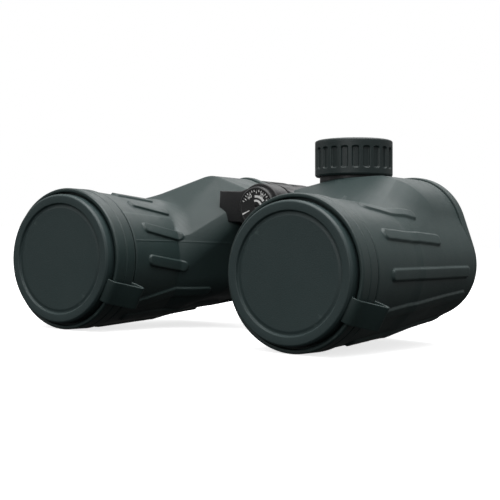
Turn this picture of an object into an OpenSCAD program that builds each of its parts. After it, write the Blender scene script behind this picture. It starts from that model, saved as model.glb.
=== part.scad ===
// 7x50 porro prism binoculars with individual focus and a compass on the left barrel.
//
// Every sub-part is modelled in the binoculars' own stations: x is measured from the plane of
// the hinge, y back from the faces of the objective caps and z up from the objective axes.
// place() moves the whole set so that the origin is at the bottom centre of the bounding box.
// Left and right are the user's: the left barrel is at +X, and the objectives look towards -Y.

/* [Layout] */
// Distance between the objective axes
objective_spacing = 127; // [126.5:0.1:127.5]
// Distance between the eyepiece axes at rest
eyepiece_spacing = 70; // [69.5:0.1:70.5]
// Height of the eyepiece axes over the objective axes
eyepiece_rise = 21; // [20.5:0.1:21.5]
// Height of the hinge axis over the objective axes
hinge_rise = 28; // [27.8:0.1:28.2]

/* [Stations behind the cap faces] */
// Front and back of the rubber guard ring
ring_front = 4.1; // [4:0.1:4.5]
ring_back = 16.8; // [16:0.1:17]
// Front edge of the rubber armour
armour_front = 17.3; // [17.2:0.1:18]
// Station where the barrel has its middle radius
barrel_mid = 60; // [55:1:65]
// Start of the shoulder that rises to the prism housing, on the left and on the right
left_shoulder = 46; // [44:1:48]
right_shoulder = 51; // [49:1:53]
// Start of the full section of the prism housing, on the left and on the right
left_housing = 79; // [78:0.5:80]
right_housing = 81; // [80:0.5:82]
// Joint between the armour and the rear cover
seam = 110.5; // [110:0.1:111]
// Back face of the rear cover
cover_back = 116; // [115.5:0.1:116.5]
// Back edge of the eyecups
overall_length = 172; // [171:0.5:174]

/* [Shells] */
// Radius of the armour at its front edge and at the middle station
barrel_front_r = 32.4; // [32:0.1:32.6]
barrel_mid_r = 29.8; // [29:0.1:30]
// Thickness of the rubber armour
armour_t = 2; // [1.8:0.1:2.2]
// Wall of the die-cast chassis
wall_t = 2.4; // [2.2:0.1:2.6]
// How far the rear cover stands proud of the housing
cover_lip = 1; // [0.8:0.1:1.2]

/* [Objectives] */
// Outer radius of the guard ring, which the binoculars lie on
ring_r = 33; // [32.8:0.1:33.2]
// Radius of the objective cap
cap_r = 30.3; // [30:0.1:30.5]
// Radius of the sunk disc on the cap's face, and its depth
cap_disc_r = 25.2; // [24:0.1:26]
cap_disc_depth = 0.8; // [0.5:0.1:1]
// Radius of the objective elements
lens_r = 26; // [25.5:0.1:26]

/* [Cap straps] */
// Direction of both straps below the x axis, seen from the front
strap_angle = 25; // [20:1:30]
// Width and thickness of a strap
strap_w = 11; // [9:0.5:12]
strap_t = 1.2; // [1:0.1:1.4]

/* [Eyepieces] */
// Outer radius of the fixed tube, of the focus ring and of the eyecup
tube_r = 16.5; // [16.3:0.1:16.6]
focus_r = 22.3; // [22:0.1:22.5]
eyecup_r = 22; // [21.5:0.1:22.3]
// Grooves around the focus ring
focus_grooves = 24; // [12:1:30]

/* [Hinge] */
// Radius of the knuckles and of the axle
knuckle_r = 11.5; // [11:0.1:11.8]
axle_r = 4; // [3.8:0.1:4.2]
// Radius of the dial on the front of the hinge
dial_r = 10; // [9:0.1:11]

/* [Compass] */
// Centre of the compass tower and its lean towards the hinge, in degrees
tower_x = 38; // [37:0.1:38.5]
tower_y = 93.8; // [93:0.1:94]
tower_lean = 2.9; // [2:0.1:3.5]
// Underside of the ribbed cap over the objective axes
tower_z = 44.3; // [44.2:0.1:45]
// Radius and height of the ribbed cap, and radius of the neck under it
knob_r = 18.5; // [18:0.1:18.8]
knob_h = 17.4; // [17:0.1:18]
neck_r = 16.2; // [16:0.1:16.3]
// Slots around the ribbed cap
knob_slots = 22; // [18:1:24]

/* [Hidden] */
$fn = 64;
eps = 0.02;
ox = objective_spacing / 2;
ex = eyepiece_spacing / 2;
skin = 0.8;                  // thickness of the sections that a shell is lofted through
form_fn = 40;                // facets of the lofted sections
nose_r = 29.3;               // front end of the chassis, inside the guard ring
nose_front = 7;
cell_r = 27.4;               // objective cell
seat = 0.05;                 // gap between pieces that are screwed or glued together
bond = 0.15;                 // cement between the chassis and its armour
run = 0.06;                  // radial clearance of a running fit
strap_reach = 39.8;          // outer bend of a strap, from the objective axis
prism_face = 84;             // plane between the two prisms
shelf_t = 1.8;
beam_r = 8.2;
front_prism_w = 15;          // width of the front prism, and how much of its apex is cut off
front_cut = 6;
rear_prism_h = 17;           // height of the rear prism, and how much of its apex is cut off
rear_cut = 5;
screw_r = 1.25;
screw_head_r = 2.4;
lug_x = 12;                  // strap lug, from the objective axis
lug_z = 16;
web_half = 7.5;              // half height of the arms that carry the knuckles
knuckle_gap = 0.8;           // between a knuckle and the other side's chassis
front_knuckle = [70.5, 82];  // right side
mid_knuckle = [83.5, 101.7]; // left side
rear_knuckle = [102, 109.6]; // right side
tube_front = 110.6;
tube_back = 141.5;
head_front = 145;            // head of the sliding ocular cell
head_back = 157;
head_r = 19.9;

// Circles (x, z, radius) round each barrel at the seam, and round each rear cover. The left
// housing is fuller on its outer side, because it carries the compass.
LEFT_BARREL = [[ox, 0, 24], [ox + 6, 4, 24.6]];
LEFT_HOUSING = [
    [ox, 0, 24], [ox + 6, 4, 24.6], [ox - 2.5, 18, 27.3],
    [ox - 23.5, 26.8, 17], [ox - 46.5, 29, 9.3], [ox - 25.5, 1, 20]
];
RIGHT_BARREL = [[ox + 1.5, 1.5, 25.5]];
RIGHT_HOUSING = [
    [ox + 1.5, 1.5, 26.5], [ox - 26.5, 28.5, 16], [ox - 46.5, 29, 9.3], [ox - 25.5, 1, 20]
];
// Screw bosses of each rear cover: x, z
LEFT_BOSSES = [
    [ox - 3, -18.2], [ox + 24, 1], [ox + 13.7, 30.7], [ox - 4.3, 38.5], [ox - 47.5, 31.5],
    [ox - 25.5, -12.8]
];
RIGHT_BOSSES = [
    [ox - 3, -18.2], [ox + 21.5, 2], [ox + 8, 19], [ox - 10.4, 29.3], [ox - 47.5, 31.5],
    [ox - 25.5, -12.8]
];
LEFT = [LEFT_BARREL, LEFT_HOUSING, LEFT_BOSSES, left_shoulder, left_housing];
RIGHT = [RIGHT_BARREL, RIGHT_HOUSING, RIGHT_BOSSES, right_shoulder, right_housing];

x_mid = (strap_reach * cos(strap_angle) + strap_w / 2 * sin(strap_angle) - ring_r) / 2;

// ---- placing --------------------------------------------------------------------------------

module place() translate([-x_mid, -overall_length / 2, ring_r]) children();
module on_left() place() children();
module on_right() place() mirror([1, 0, 0]) children();

// Turns a shape so that its z runs back along y and its y runs up
module backwards() rotate([90, 0, 0]) mirror([0, 0, 1]) children();
module section(y, depth) translate([0, y, 0]) backwards() linear_extrude(depth) children();
// A rod or a turned shape along y, about the axis at x, z
module rod(x, z, y0, y1, r) translate([x, y0, z]) backwards() cylinder(h = y1 - y0, r = r);
module turned(x, z) translate([x, 0, z]) backwards() rotate_extrude() children();
module at_tower() translate([tower_x, tower_y, tower_z]) rotate([0, -tower_lean, 0]) children();
module tube(z0, z1, outer, inner) {
    translate([0, 0, z0]) difference() {
        cylinder(h = z1 - z0, r = outer);
        translate([0, 0, -1]) cylinder(h = z1 - z0 + 2, r = inner);
    }
}

// ---- the lofted forms of one barrel ---------------------------------------------------------

module circles(list, inset) {
    for (c = list) translate([c[0], c[1]]) circle(r = c[2] - inset, $fn = form_fn);
}

module barrel_form(form, inset) {
    hull() {
        section(armour_front - 1, skin) circles([[ox, 0, barrel_front_r]], inset);
        section(barrel_mid, skin) circles([[ox, 0, barrel_mid_r]], inset);
        section(seam + 0.2, skin) circles(form[0], inset);
    }
}

module housing_form(form, inset) {
    hull() {
        section(form[3], skin) circles([[ox, 0, barrel_mid_r]], inset);
        section(form[4], seam + 1 - form[4]) circles(form[1], inset + cover_lip);
    }
}

module outer_form(form, inset) {
    barrel_form(form, inset);
    housing_form(form, inset);
}

// Keeps what lies between two stations
module between(y0, y1) {
    intersection() {
        children();
        translate([-20, y0, -60]) cube([140, y1 - y0, 140]);
    }
}

module hinge_space(r) rod(0, hinge_rise, 55, cover_back + 5, r);

// A knuckle and its arm, or the pocket that they pass through
module knuckle(span, gap = 0) {
    rod(0, hinge_rise, span[0] - gap, span[1] + gap, knuckle_r + gap);
    translate([0, span[0] - gap, hinge_rise - web_half - gap])
        cube([27 + gap, span[1] - span[0] + 2 * gap, 2 * (web_half + gap)]);
}

// ---- shells ---------------------------------------------------------------------------------

module armour(form, knuckles) {
    color([0.16, 0.23, 0.22]) difference() {
        between(armour_front, seam - 0.1) outer_form(form, 0);
        outer_form(form, armour_t);
        hinge_space(knuckle_r + 5.5);
        for (k = knuckles) knuckle(k, bond);
    }
}

module chassis(form, knuckles) {
    color([0.1, 0.1, 0.11]) difference() {
        union() {
            difference() {
                union() {
                    rod(ox, 0, nose_front, armour_front + 5, nose_r);
                    between(armour_front, seam - 0.5) outer_form(form, armour_t + bond);
                }
                hinge_space(knuckle_r + knuckle_gap);
            }
            for (k = knuckles) knuckle(k);
        }
        rod(ox, 0, nose_front - 1, left_shoulder, cell_r + seat);
        difference() {
            union() {
                between(left_shoulder - 8, seam + 1) barrel_form(form, armour_t + wall_t);
                housing_form(form, armour_t + wall_t);
            }
            for (b = form[2]) rod(b[0], b[1], 95, seam + 1, 3);
        }
        for (b = form[2]) rod(b[0], b[1], 97, seam + 1, screw_r + seat);
        rod(0, hinge_rise, 60, seam + 5, len(knuckles) == 1 ? 6 + seat : axle_r + seat);
    }
}

module compass_well() at_tower() translate([0, 0, -9]) cylinder(h = 30, r = neck_r + seat);

module rear_cover(form) {
    color([0.16, 0.23, 0.22]) difference() {
        section(seam, cover_back - seam) hull() circles(form[1], 0);
        section(seam - 1, 3.5) hull() circles(form[1], armour_t + wall_t + cover_lip);
        rod(ex, eyepiece_rise, seam - 1, cover_back + 1, tube_r + seat);
        for (b = form[2]) {
            rod(b[0], b[1], seam - 1, cover_back + 1, screw_r + 0.15);
            rod(b[0], b[1], cover_back - 1.8, cover_back + 1, screw_head_r + 0.2);
        }
        hinge_space(9);
    }
}

// Loop for the neck strap on the back of a rear cover
module strap_lug() {
    color([0.16, 0.23, 0.22]) translate([ox + lug_x, cover_back - eps, lug_z]) difference() {
        translate([0, 0, -8]) cube([3, 9.5, 16]);
        translate([-1, 2, -5.5]) cube([5, 4.8, 11]);
    }
}

module cover_gasket(form) {
    color("black") difference() {
        section(seam - 0.5, 0.5) hull() circles(form[1], armour_t + cover_lip + 0.2);
        difference() {
            section(seam - 1, 1.5) hull() circles(form[1], armour_t + wall_t + cover_lip);
            for (b = form[2]) rod(b[0], b[1], seam - 2, seam + 1, 3);
        }
        for (b = form[2]) rod(b[0], b[1], seam - 1, seam + 1, screw_r + seat);
        hinge_space(knuckle_r + knuckle_gap);
    }
}

module cover_screws(form) {
    color("silver") for (b = form[2]) difference() {
        union() {
            rod(b[0], b[1], seam - 11, cover_back - 1, screw_r);
            rod(b[0], b[1], cover_back - 1.8, cover_back - 0.2, screw_head_r);
        }
        translate([b[0] - 2, cover_back - 0.9, b[1] - 0.35]) cube([4, 2, 0.7]);
        translate([b[0] - 0.35, cover_back - 0.9, b[1] - 2]) cube([0.7, 2, 4]);
    }
}

// ---- objectives -----------------------------------------------------------------------------

module guard_ring() {
    color([0.15, 0.21, 0.2]) turned(ox, 0) polygon([
        [nose_r + seat, 7], [31, 7], [31, ring_front], [32.2, ring_front], [ring_r, ring_front + 0.8],
        [ring_r, 9.6], [32.4, 10.1], [32.4, 10.7], [ring_r, 11.2],
        [ring_r, ring_back - 0.6], [32.4, ring_back], [nose_r + seat, ring_back]
    ]);
}

module objective_cap() {
    color([0.16, 0.23, 0.22]) turned(ox, 0) polygon([
        [0, cap_disc_depth], [cap_disc_r, cap_disc_depth], [cap_disc_r + 0.4, 0], [cap_r - 0.8, 0],
        [cap_r, 0.8], [cap_r, 6.4], [27, 6.4], [26.8, 10], [25.6, 10], [25.6, 3], [0, 3]
    ]);
}

// The strap leaves the cap in front of the guard ring, runs back over it and folds under to it
module cap_strap(side) {
    color([0.15, 0.21, 0.2]) translate([side * ox, 0, 0]) rotate([0, strap_angle, 0])
    difference() {
        translate([0, 0, -strap_w / 2]) linear_extrude(strap_w) polygon([
            [29, 1.5], [34, 2], [strap_reach, 16.4], [strap_reach - 0.5, 17.8],
            [32, 15.4], [32, 15.4 - strap_t], [strap_reach - 1 - strap_t, 17.2 - strap_t],
            [34.4 - strap_t, 2 + strap_t], [29, 1.5 + strap_t]
        ]);
        backwards() translate([0, 0, -1]) cylinder(h = 5, r = cap_r + eps);
        backwards() translate([0, 0, 5]) cylinder(h = 20, r = ring_r + eps);
    }
}

module objective_cell() {
    color([0.2, 0.2, 0.21]) difference() {
        turned(ox, 0) polygon([
            [lens_r + seat, 11], [cell_r, 11], [cell_r, 31], [24.6, 31], [24.6, 26.2], [lens_r + seat, 26.2]
        ]);
        turned(ox, 0) translate([cell_r, 17]) circle(r = 0.8, $fn = 24);
    }
}

module objective_seal() {
    color("black") turned(ox, 0) difference() {
        translate([cell_r, 17]) circle(r = 0.75, $fn = 24);
        translate([cell_r + seat, 15]) square([2, 4]);
    }
}

// The half section of a ball whose surface crosses the axis at y; r is below 0 if it lies in front
module ball(y, r) translate([0, y + r]) circle(r = abs(r), $fn = 720);
// The half section of a lens blank
module blank(y0, y1, r) translate([0, y0]) square([r, y1 - y0]);

module crown_lens() {
    color([0.6, 0.5, 0.75, 0.5]) turned(ox, 0) intersection() {
        blank(10, 30, lens_r);
        ball(12.6, 110);
        ball(21.6, -110);
    }
}

module flint_lens() {
    color([0.7, 0.75, 0.85, 0.5]) turned(ox, 0) difference() {
        blank(17, 26.1, lens_r);
        ball(21.7, -110);
    }
}

module lens_retainer() {
    color([0.1, 0.1, 0.1]) turned(ox, 0)
        polygon([[24.6, 12], [lens_r + seat - 0.02, 12], [lens_r + seat - 0.02, 15.4], [24.6, 15.1]]);
}

// ---- prisms ---------------------------------------------------------------------------------

// Carries the light up to the eyepiece axis
module front_prism() {
    mid = eyepiece_rise / 2;
    face = prism_face - shelf_t / 2 - 0.1;
    color([0.75, 0.85, 0.9, 0.5]) translate([ex - front_prism_w / 2, 0, 0]) rotate([90, 0, 90])
    linear_extrude(front_prism_w) intersection() {
        polygon([
            [face, mid - eyepiece_rise], [face, mid + eyepiece_rise], [face - eyepiece_rise, mid]
        ]);
        translate([face - eyepiece_rise + front_cut, mid - 17.5]) square([eyepiece_rise, 35]);
    }
}

// Carries the light from the objective axis across to the front prism
module rear_prism() {
    mid = (ox + ex) / 2;
    reach = ox - ex;
    face = prism_face + shelf_t / 2 + 0.1;
    color([0.75, 0.85, 0.9, 0.5]) translate([0, 0, -rear_prism_h / 2])
    linear_extrude(rear_prism_h) intersection() {
        polygon([[mid - reach, face], [mid + reach, face], [mid, face + reach]]);
        translate([mid - 21, face]) square([42, reach - rear_cut]);
    }
}

module prism_shelf(form) {
    color([0.3, 0.3, 0.32]) difference() {
        section(prism_face - shelf_t / 2, shelf_t)
            hull() circles(form[1], armour_t + wall_t + cover_lip + 0.3);
        rod(ox, 0, prism_face - 5, prism_face + 5, beam_r);
        rod(ex, 0, prism_face - 5, prism_face + 5, beam_r);
        rod(ex, eyepiece_rise, prism_face - 5, prism_face + 5, beam_r);
        hinge_space(knuckle_r + 5);
    }
}

// A spring strap over the cut apex of each prism, with its feet on the shelf
module prism_clips() {
    mid = (ox + ex) / 2;
    gap = 0.15;
    t = 0.7;
    front_foot = prism_face - shelf_t / 2 - 0.02;
    rear_foot = prism_face + shelf_t / 2 + 0.02;
    front_apex = prism_face - shelf_t / 2 - 0.1 - eyepiece_rise + front_cut - gap;
    rear_apex = prism_face + shelf_t / 2 + 0.1 + ox - ex - rear_cut + gap;
    hx = front_prism_w / 2 + gap;
    hz = rear_prism_h / 2 + gap;
    color("silver") {
        difference() {
            translate([ex - hx - t, front_apex - t, eyepiece_rise / 2 - 4])
                cube([2 * (hx + t), front_foot - front_apex + t, 8]);
            translate([ex - hx, front_apex, eyepiece_rise / 2 - 5]) cube([2 * hx, 60, 10]);
        }
        difference() {
            translate([mid - 4, rear_foot, -hz - t]) cube([8, rear_apex + t - rear_foot, 2 * (hz + t)]);
            translate([mid - 5, rear_apex - 60, -hz]) cube([10, 60, 2 * hz]);
        }
    }
}

// ---- eyepieces ------------------------------------------------------------------------------

module eyepiece_tube() {
    color([0.1, 0.1, 0.1]) turned(ex, eyepiece_rise) polygon([
        [tube_r - 2, tube_front], [tube_r, tube_front], [tube_r, cover_back + eps],
        [20, cover_back + eps], [20, 118.6], [tube_r, 118.6], [tube_r, tube_back], [tube_r - 2, tube_back]
    ]);
}

module focus_ring() {
    color([0.12, 0.13, 0.13]) difference() {
        turned(ex, eyepiece_rise) polygon([
            [tube_r + run, 119], [focus_r - 1, 119], [focus_r, 120], [focus_r, 140], [focus_r - 1, 141],
            [tube_r + run, 141]
        ]);
        for (k = [0 : focus_grooves - 1]) {
            a = 360 * k / focus_grooves;
            rod(ex + (focus_r + 0.6) * cos(a), eyepiece_rise + (focus_r + 0.6) * sin(a), 123, 138, 1.4);
        }
    }
}

module ocular_cell() {
    r = tube_r - 2 - run;
    color([0.1, 0.1, 0.1]) turned(ex, eyepiece_rise) polygon([
        [12.4, 121], [r, 121], [r, head_front], [head_r, head_front], [head_r, head_back],
        [13.1, head_back], [13.1, 149], [11.4, 149], [11.4, 129], [12.4, 129]
    ]);
}

module field_lens() {
    color([0.6, 0.7, 0.8, 0.5]) turned(ex, eyepiece_rise) intersection() {
        blank(120, 130, 12.35);
        ball(121.6, 34);
        ball(128.6, -34);
    }
}

module eye_lens() {
    color([0.5, 0.65, 0.6, 0.5]) turned(ex, eyepiece_rise) intersection() {
        blank(149.1, 160, 13);
        ball(156.2, -30);
    }
}

module eyecup() {
    color([0.09, 0.1, 0.1]) turned(ex, eyepiece_rise) polygon([
        [head_r + seat, 147], [eyecup_r - 0.6, 147], [eyecup_r, 147.8], [eyecup_r, 160],
        [eyecup_r - 1, 161], [eyecup_r - 1, 168], [eyecup_r, 170], [eyecup_r - 0.6, overall_length],
        [eyecup_r - 2.4, overall_length], [eyecup_r - 3, 169], [eyecup_r - 3.2, 160],
        [14.5, 159], [14.5, head_back + seat], [head_r + seat, head_back + seat]
    ]);
}

module reticle() {
    color([0.8, 0.9, 0.9, 0.4]) rod(ex, eyepiece_rise, 111, 112.6, tube_r - 2 - 0.02);
}

// ---- hinge ----------------------------------------------------------------------------------

module hinge_axle() color("silver") rod(0, hinge_rise, front_knuckle[0] - 1, 113.5, axle_r);

module hinge_dial() {
    color([0.08, 0.08, 0.08]) difference() {
        turned(0, hinge_rise) polygon([
            [0, 67.4], [dial_r - 0.8, 67.4], [dial_r, 68.2], [dial_r, 70.4], [0, 70.4]
        ]);
        rod(0, hinge_rise, front_knuckle[0] - 1, 75, axle_r + seat);
    }
}

module hinge_nut() {
    color("silver") difference() {
        rod(0, hinge_rise, rear_knuckle[1] + 0.1, 113.4, 7.4);
        rod(0, hinge_rise, 100, 120, axle_r + seat);
        translate([-10, 112, hinge_rise - 1]) cube([20, 3, 2]);
    }
}

module hinge_bushes() {
    color("goldenrod") for (y = [mid_knuckle[0], mid_knuckle[1] - 6]) difference() {
        rod(0, hinge_rise, y, y + 6, 6);
        rod(0, hinge_rise, y - 1, y + 7, axle_r + run);
    }
}

module hinge_washer() {
    color("silver") difference() {
        rod(0, hinge_rise, front_knuckle[1] + 0.15, mid_knuckle[0] - 0.15, 9);
        rod(0, hinge_rise, front_knuckle[1] - 1, mid_knuckle[0] + 1, axle_r + 0.2);
    }
}

// ---- compass --------------------------------------------------------------------------------

module compass_housing() {
    color([0.1, 0.1, 0.1]) at_tower() rotate_extrude() polygon([
        [5, -8.6], [neck_r, -8.6], [neck_r, 13.6], [14.4, 13.6], [14.4, -7], [5, -7]
    ]);
}

module compass_capsule() {
    color([0.85, 0.9, 0.9, 0.4]) at_tower() difference() {
        translate([0, 0, -6.9]) cylinder(h = 10.4, r = 14.3);
        translate([0, 0, -5.7]) cylinder(h = 8.2, r = 13.2);
    }
}

module compass_card() {
    color("white") at_tower() difference() {
        union() {
            tube(-3, 0.8, 12, 11.2);
            translate([0, 0, 0]) cylinder(h = 0.8, r = 11.6);
            tube(-2.4, 0.5, 2.4, 1.2);
        }
        translate([0, 0, -3]) cylinder(h = 3.2, r = 1.2);
    }
}

module compass_pivot() {
    color("silver") at_tower() translate([0, 0, -5.7]) {
        cylinder(h = 0.8, r = 2.5);
        cylinder(h = 5.6, r = 0.6);
    }
}

module compass_cap() {
    slot_depth = 0.9;
    color([0.16, 0.23, 0.22]) at_tower() difference() {
        rotate_extrude() polygon([
            [neck_r + 0.2, 0], [knob_r - 0.6, 0], [knob_r, 0.6], [knob_r, knob_h - 2],
            [knob_r - 0.6, knob_h - 0.6], [knob_r - 2, knob_h], [12, knob_h], [12, knob_h - 0.8],
            [5.8, knob_h - 0.8], [5.8, knob_h - 3], [neck_r + 0.2, knob_h - 3]
        ]);
        for (k = [0 : knob_slots - 1]) rotate([0, 0, 360 * (k + 0.5) / knob_slots])
            translate([knob_r - slot_depth, -1.5, 3.6]) cube([4, 3, 9.6]);
    }
}

module lamp_button() {
    color([0.1, 0.1, 0.1]) at_tower() {
        translate([0, 0, knob_h - 3]) cylinder(h = 2.8, r = 5.7);
        translate([0, 0, knob_h - 4.4]) cylinder(h = 1.4, r = 7);
    }
}

module lamp_board() {
    color([0.1, 0.35, 0.2]) at_tower() {
        translate([0, 0, 3.8]) cylinder(h = 1.2, r = 14.2);
        translate([10.5, 0, 5]) cylinder(h = 1.5, r = 1.5);
    }
}

module lamp_battery() color("silver") at_tower() translate([0, 0, 5.1]) cylinder(h = 5.2, r = 8);

// ---- the assembly ---------------------------------------------------------------------------

on_left() difference() { chassis(LEFT, [mid_knuckle]); compass_well(); }  // left_chassis
on_right() chassis(RIGHT, [front_knuckle, rear_knuckle]);  // right_chassis
on_left() difference() { armour(LEFT, [mid_knuckle]); compass_well(); }  // left_armour
on_right() armour(RIGHT, [front_knuckle, rear_knuckle]);  // right_armour
on_left() guard_ring();  // left_guard_ring
on_right() guard_ring();  // right_guard_ring
on_left() objective_cap();  // left_objective_cap
on_right() objective_cap();  // right_objective_cap
place() cap_strap(1);  // left_cap_strap
place() cap_strap(-1);  // right_cap_strap
on_left() objective_cell();  // left_objective_cell
on_right() objective_cell();  // right_objective_cell
on_left() crown_lens();  // left_crown_lens
on_right() crown_lens();  // right_crown_lens
on_left() flint_lens();  // left_flint_lens
on_right() flint_lens();  // right_flint_lens
on_left() lens_retainer();  // left_lens_retainer
on_right() lens_retainer();  // right_lens_retainer
on_left() objective_seal();  // left_objective_seal
on_right() objective_seal();  // right_objective_seal
on_left() front_prism();  // left_front_prism
on_right() front_prism();  // right_front_prism
on_left() rear_prism();  // left_rear_prism
on_right() rear_prism();  // right_rear_prism
on_left() difference() { prism_shelf(LEFT); compass_well(); }  // left_prism_shelf
on_right() prism_shelf(RIGHT);  // right_prism_shelf
on_left() prism_clips();  // left_prism_clips
on_right() prism_clips();  // right_prism_clips
on_left() { rear_cover(LEFT); strap_lug(); }  // left_rear_cover
on_right() { rear_cover(RIGHT); strap_lug(); }  // right_rear_cover
on_left() cover_gasket(LEFT);  // left_cover_gasket
on_right() cover_gasket(RIGHT);  // right_cover_gasket
on_left() cover_screws(LEFT);  // left_cover_screws
on_right() cover_screws(RIGHT);  // right_cover_screws
on_left() eyepiece_tube();  // left_eyepiece_tube
on_right() eyepiece_tube();  // right_eyepiece_tube
on_left() focus_ring();  // left_focus_ring
on_right() focus_ring();  // right_focus_ring
on_left() ocular_cell();  // left_ocular_cell
on_right() ocular_cell();  // right_ocular_cell
on_left() field_lens();  // left_field_lens
on_right() field_lens();  // right_field_lens
on_left() eye_lens();  // left_eye_lens
on_right() eye_lens();  // right_eye_lens
on_left() eyecup();  // left_eyecup
on_right() eyecup();  // right_eyecup
on_left() reticle();  // left_reticle
place() hinge_axle();
place() hinge_dial();
place() hinge_nut();
place() hinge_bushes();
place() hinge_washer();
on_left() compass_housing();
on_left() compass_capsule();
on_left() compass_card();
on_left() compass_pivot();
on_left() compass_cap();
on_left() lamp_button();
on_left() lamp_board();
on_left() lamp_battery();
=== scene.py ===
import math

import bpy
import numpy as np
from mathutils import Matrix, Vector


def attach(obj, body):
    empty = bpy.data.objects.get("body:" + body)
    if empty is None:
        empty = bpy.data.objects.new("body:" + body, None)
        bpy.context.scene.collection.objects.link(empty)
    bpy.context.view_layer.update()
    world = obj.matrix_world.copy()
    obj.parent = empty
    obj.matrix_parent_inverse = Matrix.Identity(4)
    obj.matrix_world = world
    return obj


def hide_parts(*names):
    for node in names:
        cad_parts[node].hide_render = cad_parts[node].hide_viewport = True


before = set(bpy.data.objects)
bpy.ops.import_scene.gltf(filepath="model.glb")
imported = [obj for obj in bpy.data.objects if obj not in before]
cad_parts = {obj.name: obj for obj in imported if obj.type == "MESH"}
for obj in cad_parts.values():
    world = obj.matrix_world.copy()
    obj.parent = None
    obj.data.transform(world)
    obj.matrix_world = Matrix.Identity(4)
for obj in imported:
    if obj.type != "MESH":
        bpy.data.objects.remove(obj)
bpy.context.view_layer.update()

# ---------------------------------------------------------------------------------------------
# Stations, in millimetres: x from the hinge plane, y back from the cap faces, z up from the
# objective axes. STATION_ORIGIN is where they start in the row's frame.
# ---------------------------------------------------------------------------------------------
STATION_ORIGIN = np.array([-2.6975, -86.0, 33.0])
MM = 0.001
OX = 63.5                # objective axis
EX, EZ = 35.0, 21.0      # eyepiece axis
HINGE_Z = 28.0
ARMOUR_FRONT, MID, SEAM, BACK = 17.3, 60.0, 110.5, 116.0
CX, CZ = OX - 4.0, 6.0   # centre that the sections are measured from
TOWER = (38.0, 93.8, 44.3)
TOWER_LEAN = math.radians(2.9)
STRAP_ANGLE = math.radians(25)
THETA = np.radians(np.arange(0, 360, 1.0))


def collection_link(obj):
    bpy.context.scene.collection.objects.link(obj)
    return obj


# ---------------------------------------------------------------------------------------------
# Materials
# ---------------------------------------------------------------------------------------------
class Nodes:
    """A small helper to write node trees in few lines."""

    def __init__(self, name):
        self.mat = bpy.data.materials.new(name)
        self.mat.use_nodes = True
        self.tree = self.mat.node_tree
        self.tree.nodes.clear()
        self.out = self.add("ShaderNodeOutputMaterial")
        self.shader = self.add("ShaderNodeBsdfPrincipled")
        self.link(self.shader, "BSDF", self.out, "Surface")
        self.coords = self.add("ShaderNodeTexCoord")

    def add(self, kind, **settings):
        node = self.tree.nodes.new(kind)
        for key, value in settings.items():
            if hasattr(node, key):
                setattr(node, key, value)
            else:
                node.inputs[key.replace("_", " ")].default_value = value
        return node

    def link(self, a, a_out, b, b_in):
        self.tree.links.new(a.outputs[a_out], b.inputs[b_in])

    def noise(self, scale, detail=2.0, rough=0.5, distortion=0.0):
        node = self.add("ShaderNodeTexNoise")
        node.inputs["Scale"].default_value = scale
        node.inputs["Detail"].default_value = detail
        node.inputs["Roughness"].default_value = rough
        node.inputs["Distortion"].default_value = distortion
        self.link(self.coords, "Object", node, "Vector")
        return node

    def ramp(self, source, output, stops):
        node = self.add("ShaderNodeValToRGB")
        while len(node.color_ramp.elements) < len(stops):
            node.color_ramp.elements.new(0.5)
        for element, (place, colour) in zip(node.color_ramp.elements, stops):
            element.position = place
            element.color = (*colour, 1.0) if len(colour) == 3 else colour
        self.link(source, output, node, "Fac")
        return node

    def spread(self, source, output, low, high, from_low=0.3, from_high=0.7):
        node = self.add("ShaderNodeMapRange")
        limits = {"From Min": from_low, "From Max": from_high, "To Min": low, "To Max": high}
        for key, value in limits.items():
            node.inputs[key].default_value = value
        self.link(source, output, node, "Value")
        return node

    def bump(self, source, output, distance, strength=1.0, before=None):
        node = self.add("ShaderNodeBump")
        node.inputs["Strength"].default_value = strength
        node.inputs["Distance"].default_value = distance
        self.link(source, output, node, "Height")
        if before is not None:
            self.link(before, "Normal", node, "Normal")
        return node


def rubber(name, dark, light, rough, grain=0.00006, sheen=0.0, wear=(0.075, 0.105, 0.100)):
    """Moulded rubber: cloudy colour, fine pebbled grain, faint flow waves, pale dust specks, and a painted
    highlight on the convex edges (where Pointiness is high), in the same pale colour as the dust.
    """
    n = Nodes(name)
    cloud = n.noise(38, 4, 0.6)
    mix = n.ramp(cloud, "Fac", [(0.3, dark), (0.7, light)])
    dust = n.noise(900, 2, 0.7)
    dusty = n.add("ShaderNodeMix", data_type="RGBA", blend_type="MIX")
    mask = n.spread(dust, "Fac", 0.0, 0.16, 0.62, 0.80)
    n.link(mask, "Result", dusty, "Factor")
    n.link(mix, "Color", dusty, 6)
    dusty.inputs[7].default_value = (*wear, 1.0)
    # Painted highlight: convex edges, found by Pointiness, are mixed toward the pale dust colour. This
    # stands in for the bright edge lines that the light makes.
    edge = n.add("ShaderNodeNewGeometry")
    painted_highlight_mask = n.spread(edge, "Pointiness", 0.0, 0.35, 0.515, 0.60)
    highlighted = n.add("ShaderNodeMix", data_type="RGBA", blend_type="MIX")
    n.link(painted_highlight_mask, "Result", highlighted, "Factor")
    n.link(dusty, 2, highlighted, 6)
    highlighted.inputs[7].default_value = (*wear, 1.0)
    n.link(highlighted, 2, n.shader, "Base Color")
    patch = n.noise(60, 3, 0.6)
    roughness = n.spread(patch, "Fac", rough - 0.05, rough + 0.07)
    n.link(roughness, "Result", n.shader, "Roughness")
    n.shader.inputs["Specular IOR Level"].default_value = 0.5
    n.shader.inputs["Sheen Weight"].default_value = sheen
    n.shader.inputs["Sheen Roughness"].default_value = 0.5
    pebble = n.add("ShaderNodeTexVoronoi")
    pebble.inputs["Scale"].default_value = 2600
    n.link(n.coords, "Object", pebble, "Vector")
    first = n.bump(pebble, "Distance", grain, 0.5)
    fine = n.noise(1700, 3, 0.6)
    second = n.bump(fine, "Fac", grain, 0.6, first)
    wave = n.noise(22, 1, 0.4)
    third = n.bump(wave, "Fac", 0.0006, 0.35, second)
    n.link(third, "Normal", n.shader, "Normal")
    return n.mat


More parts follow.
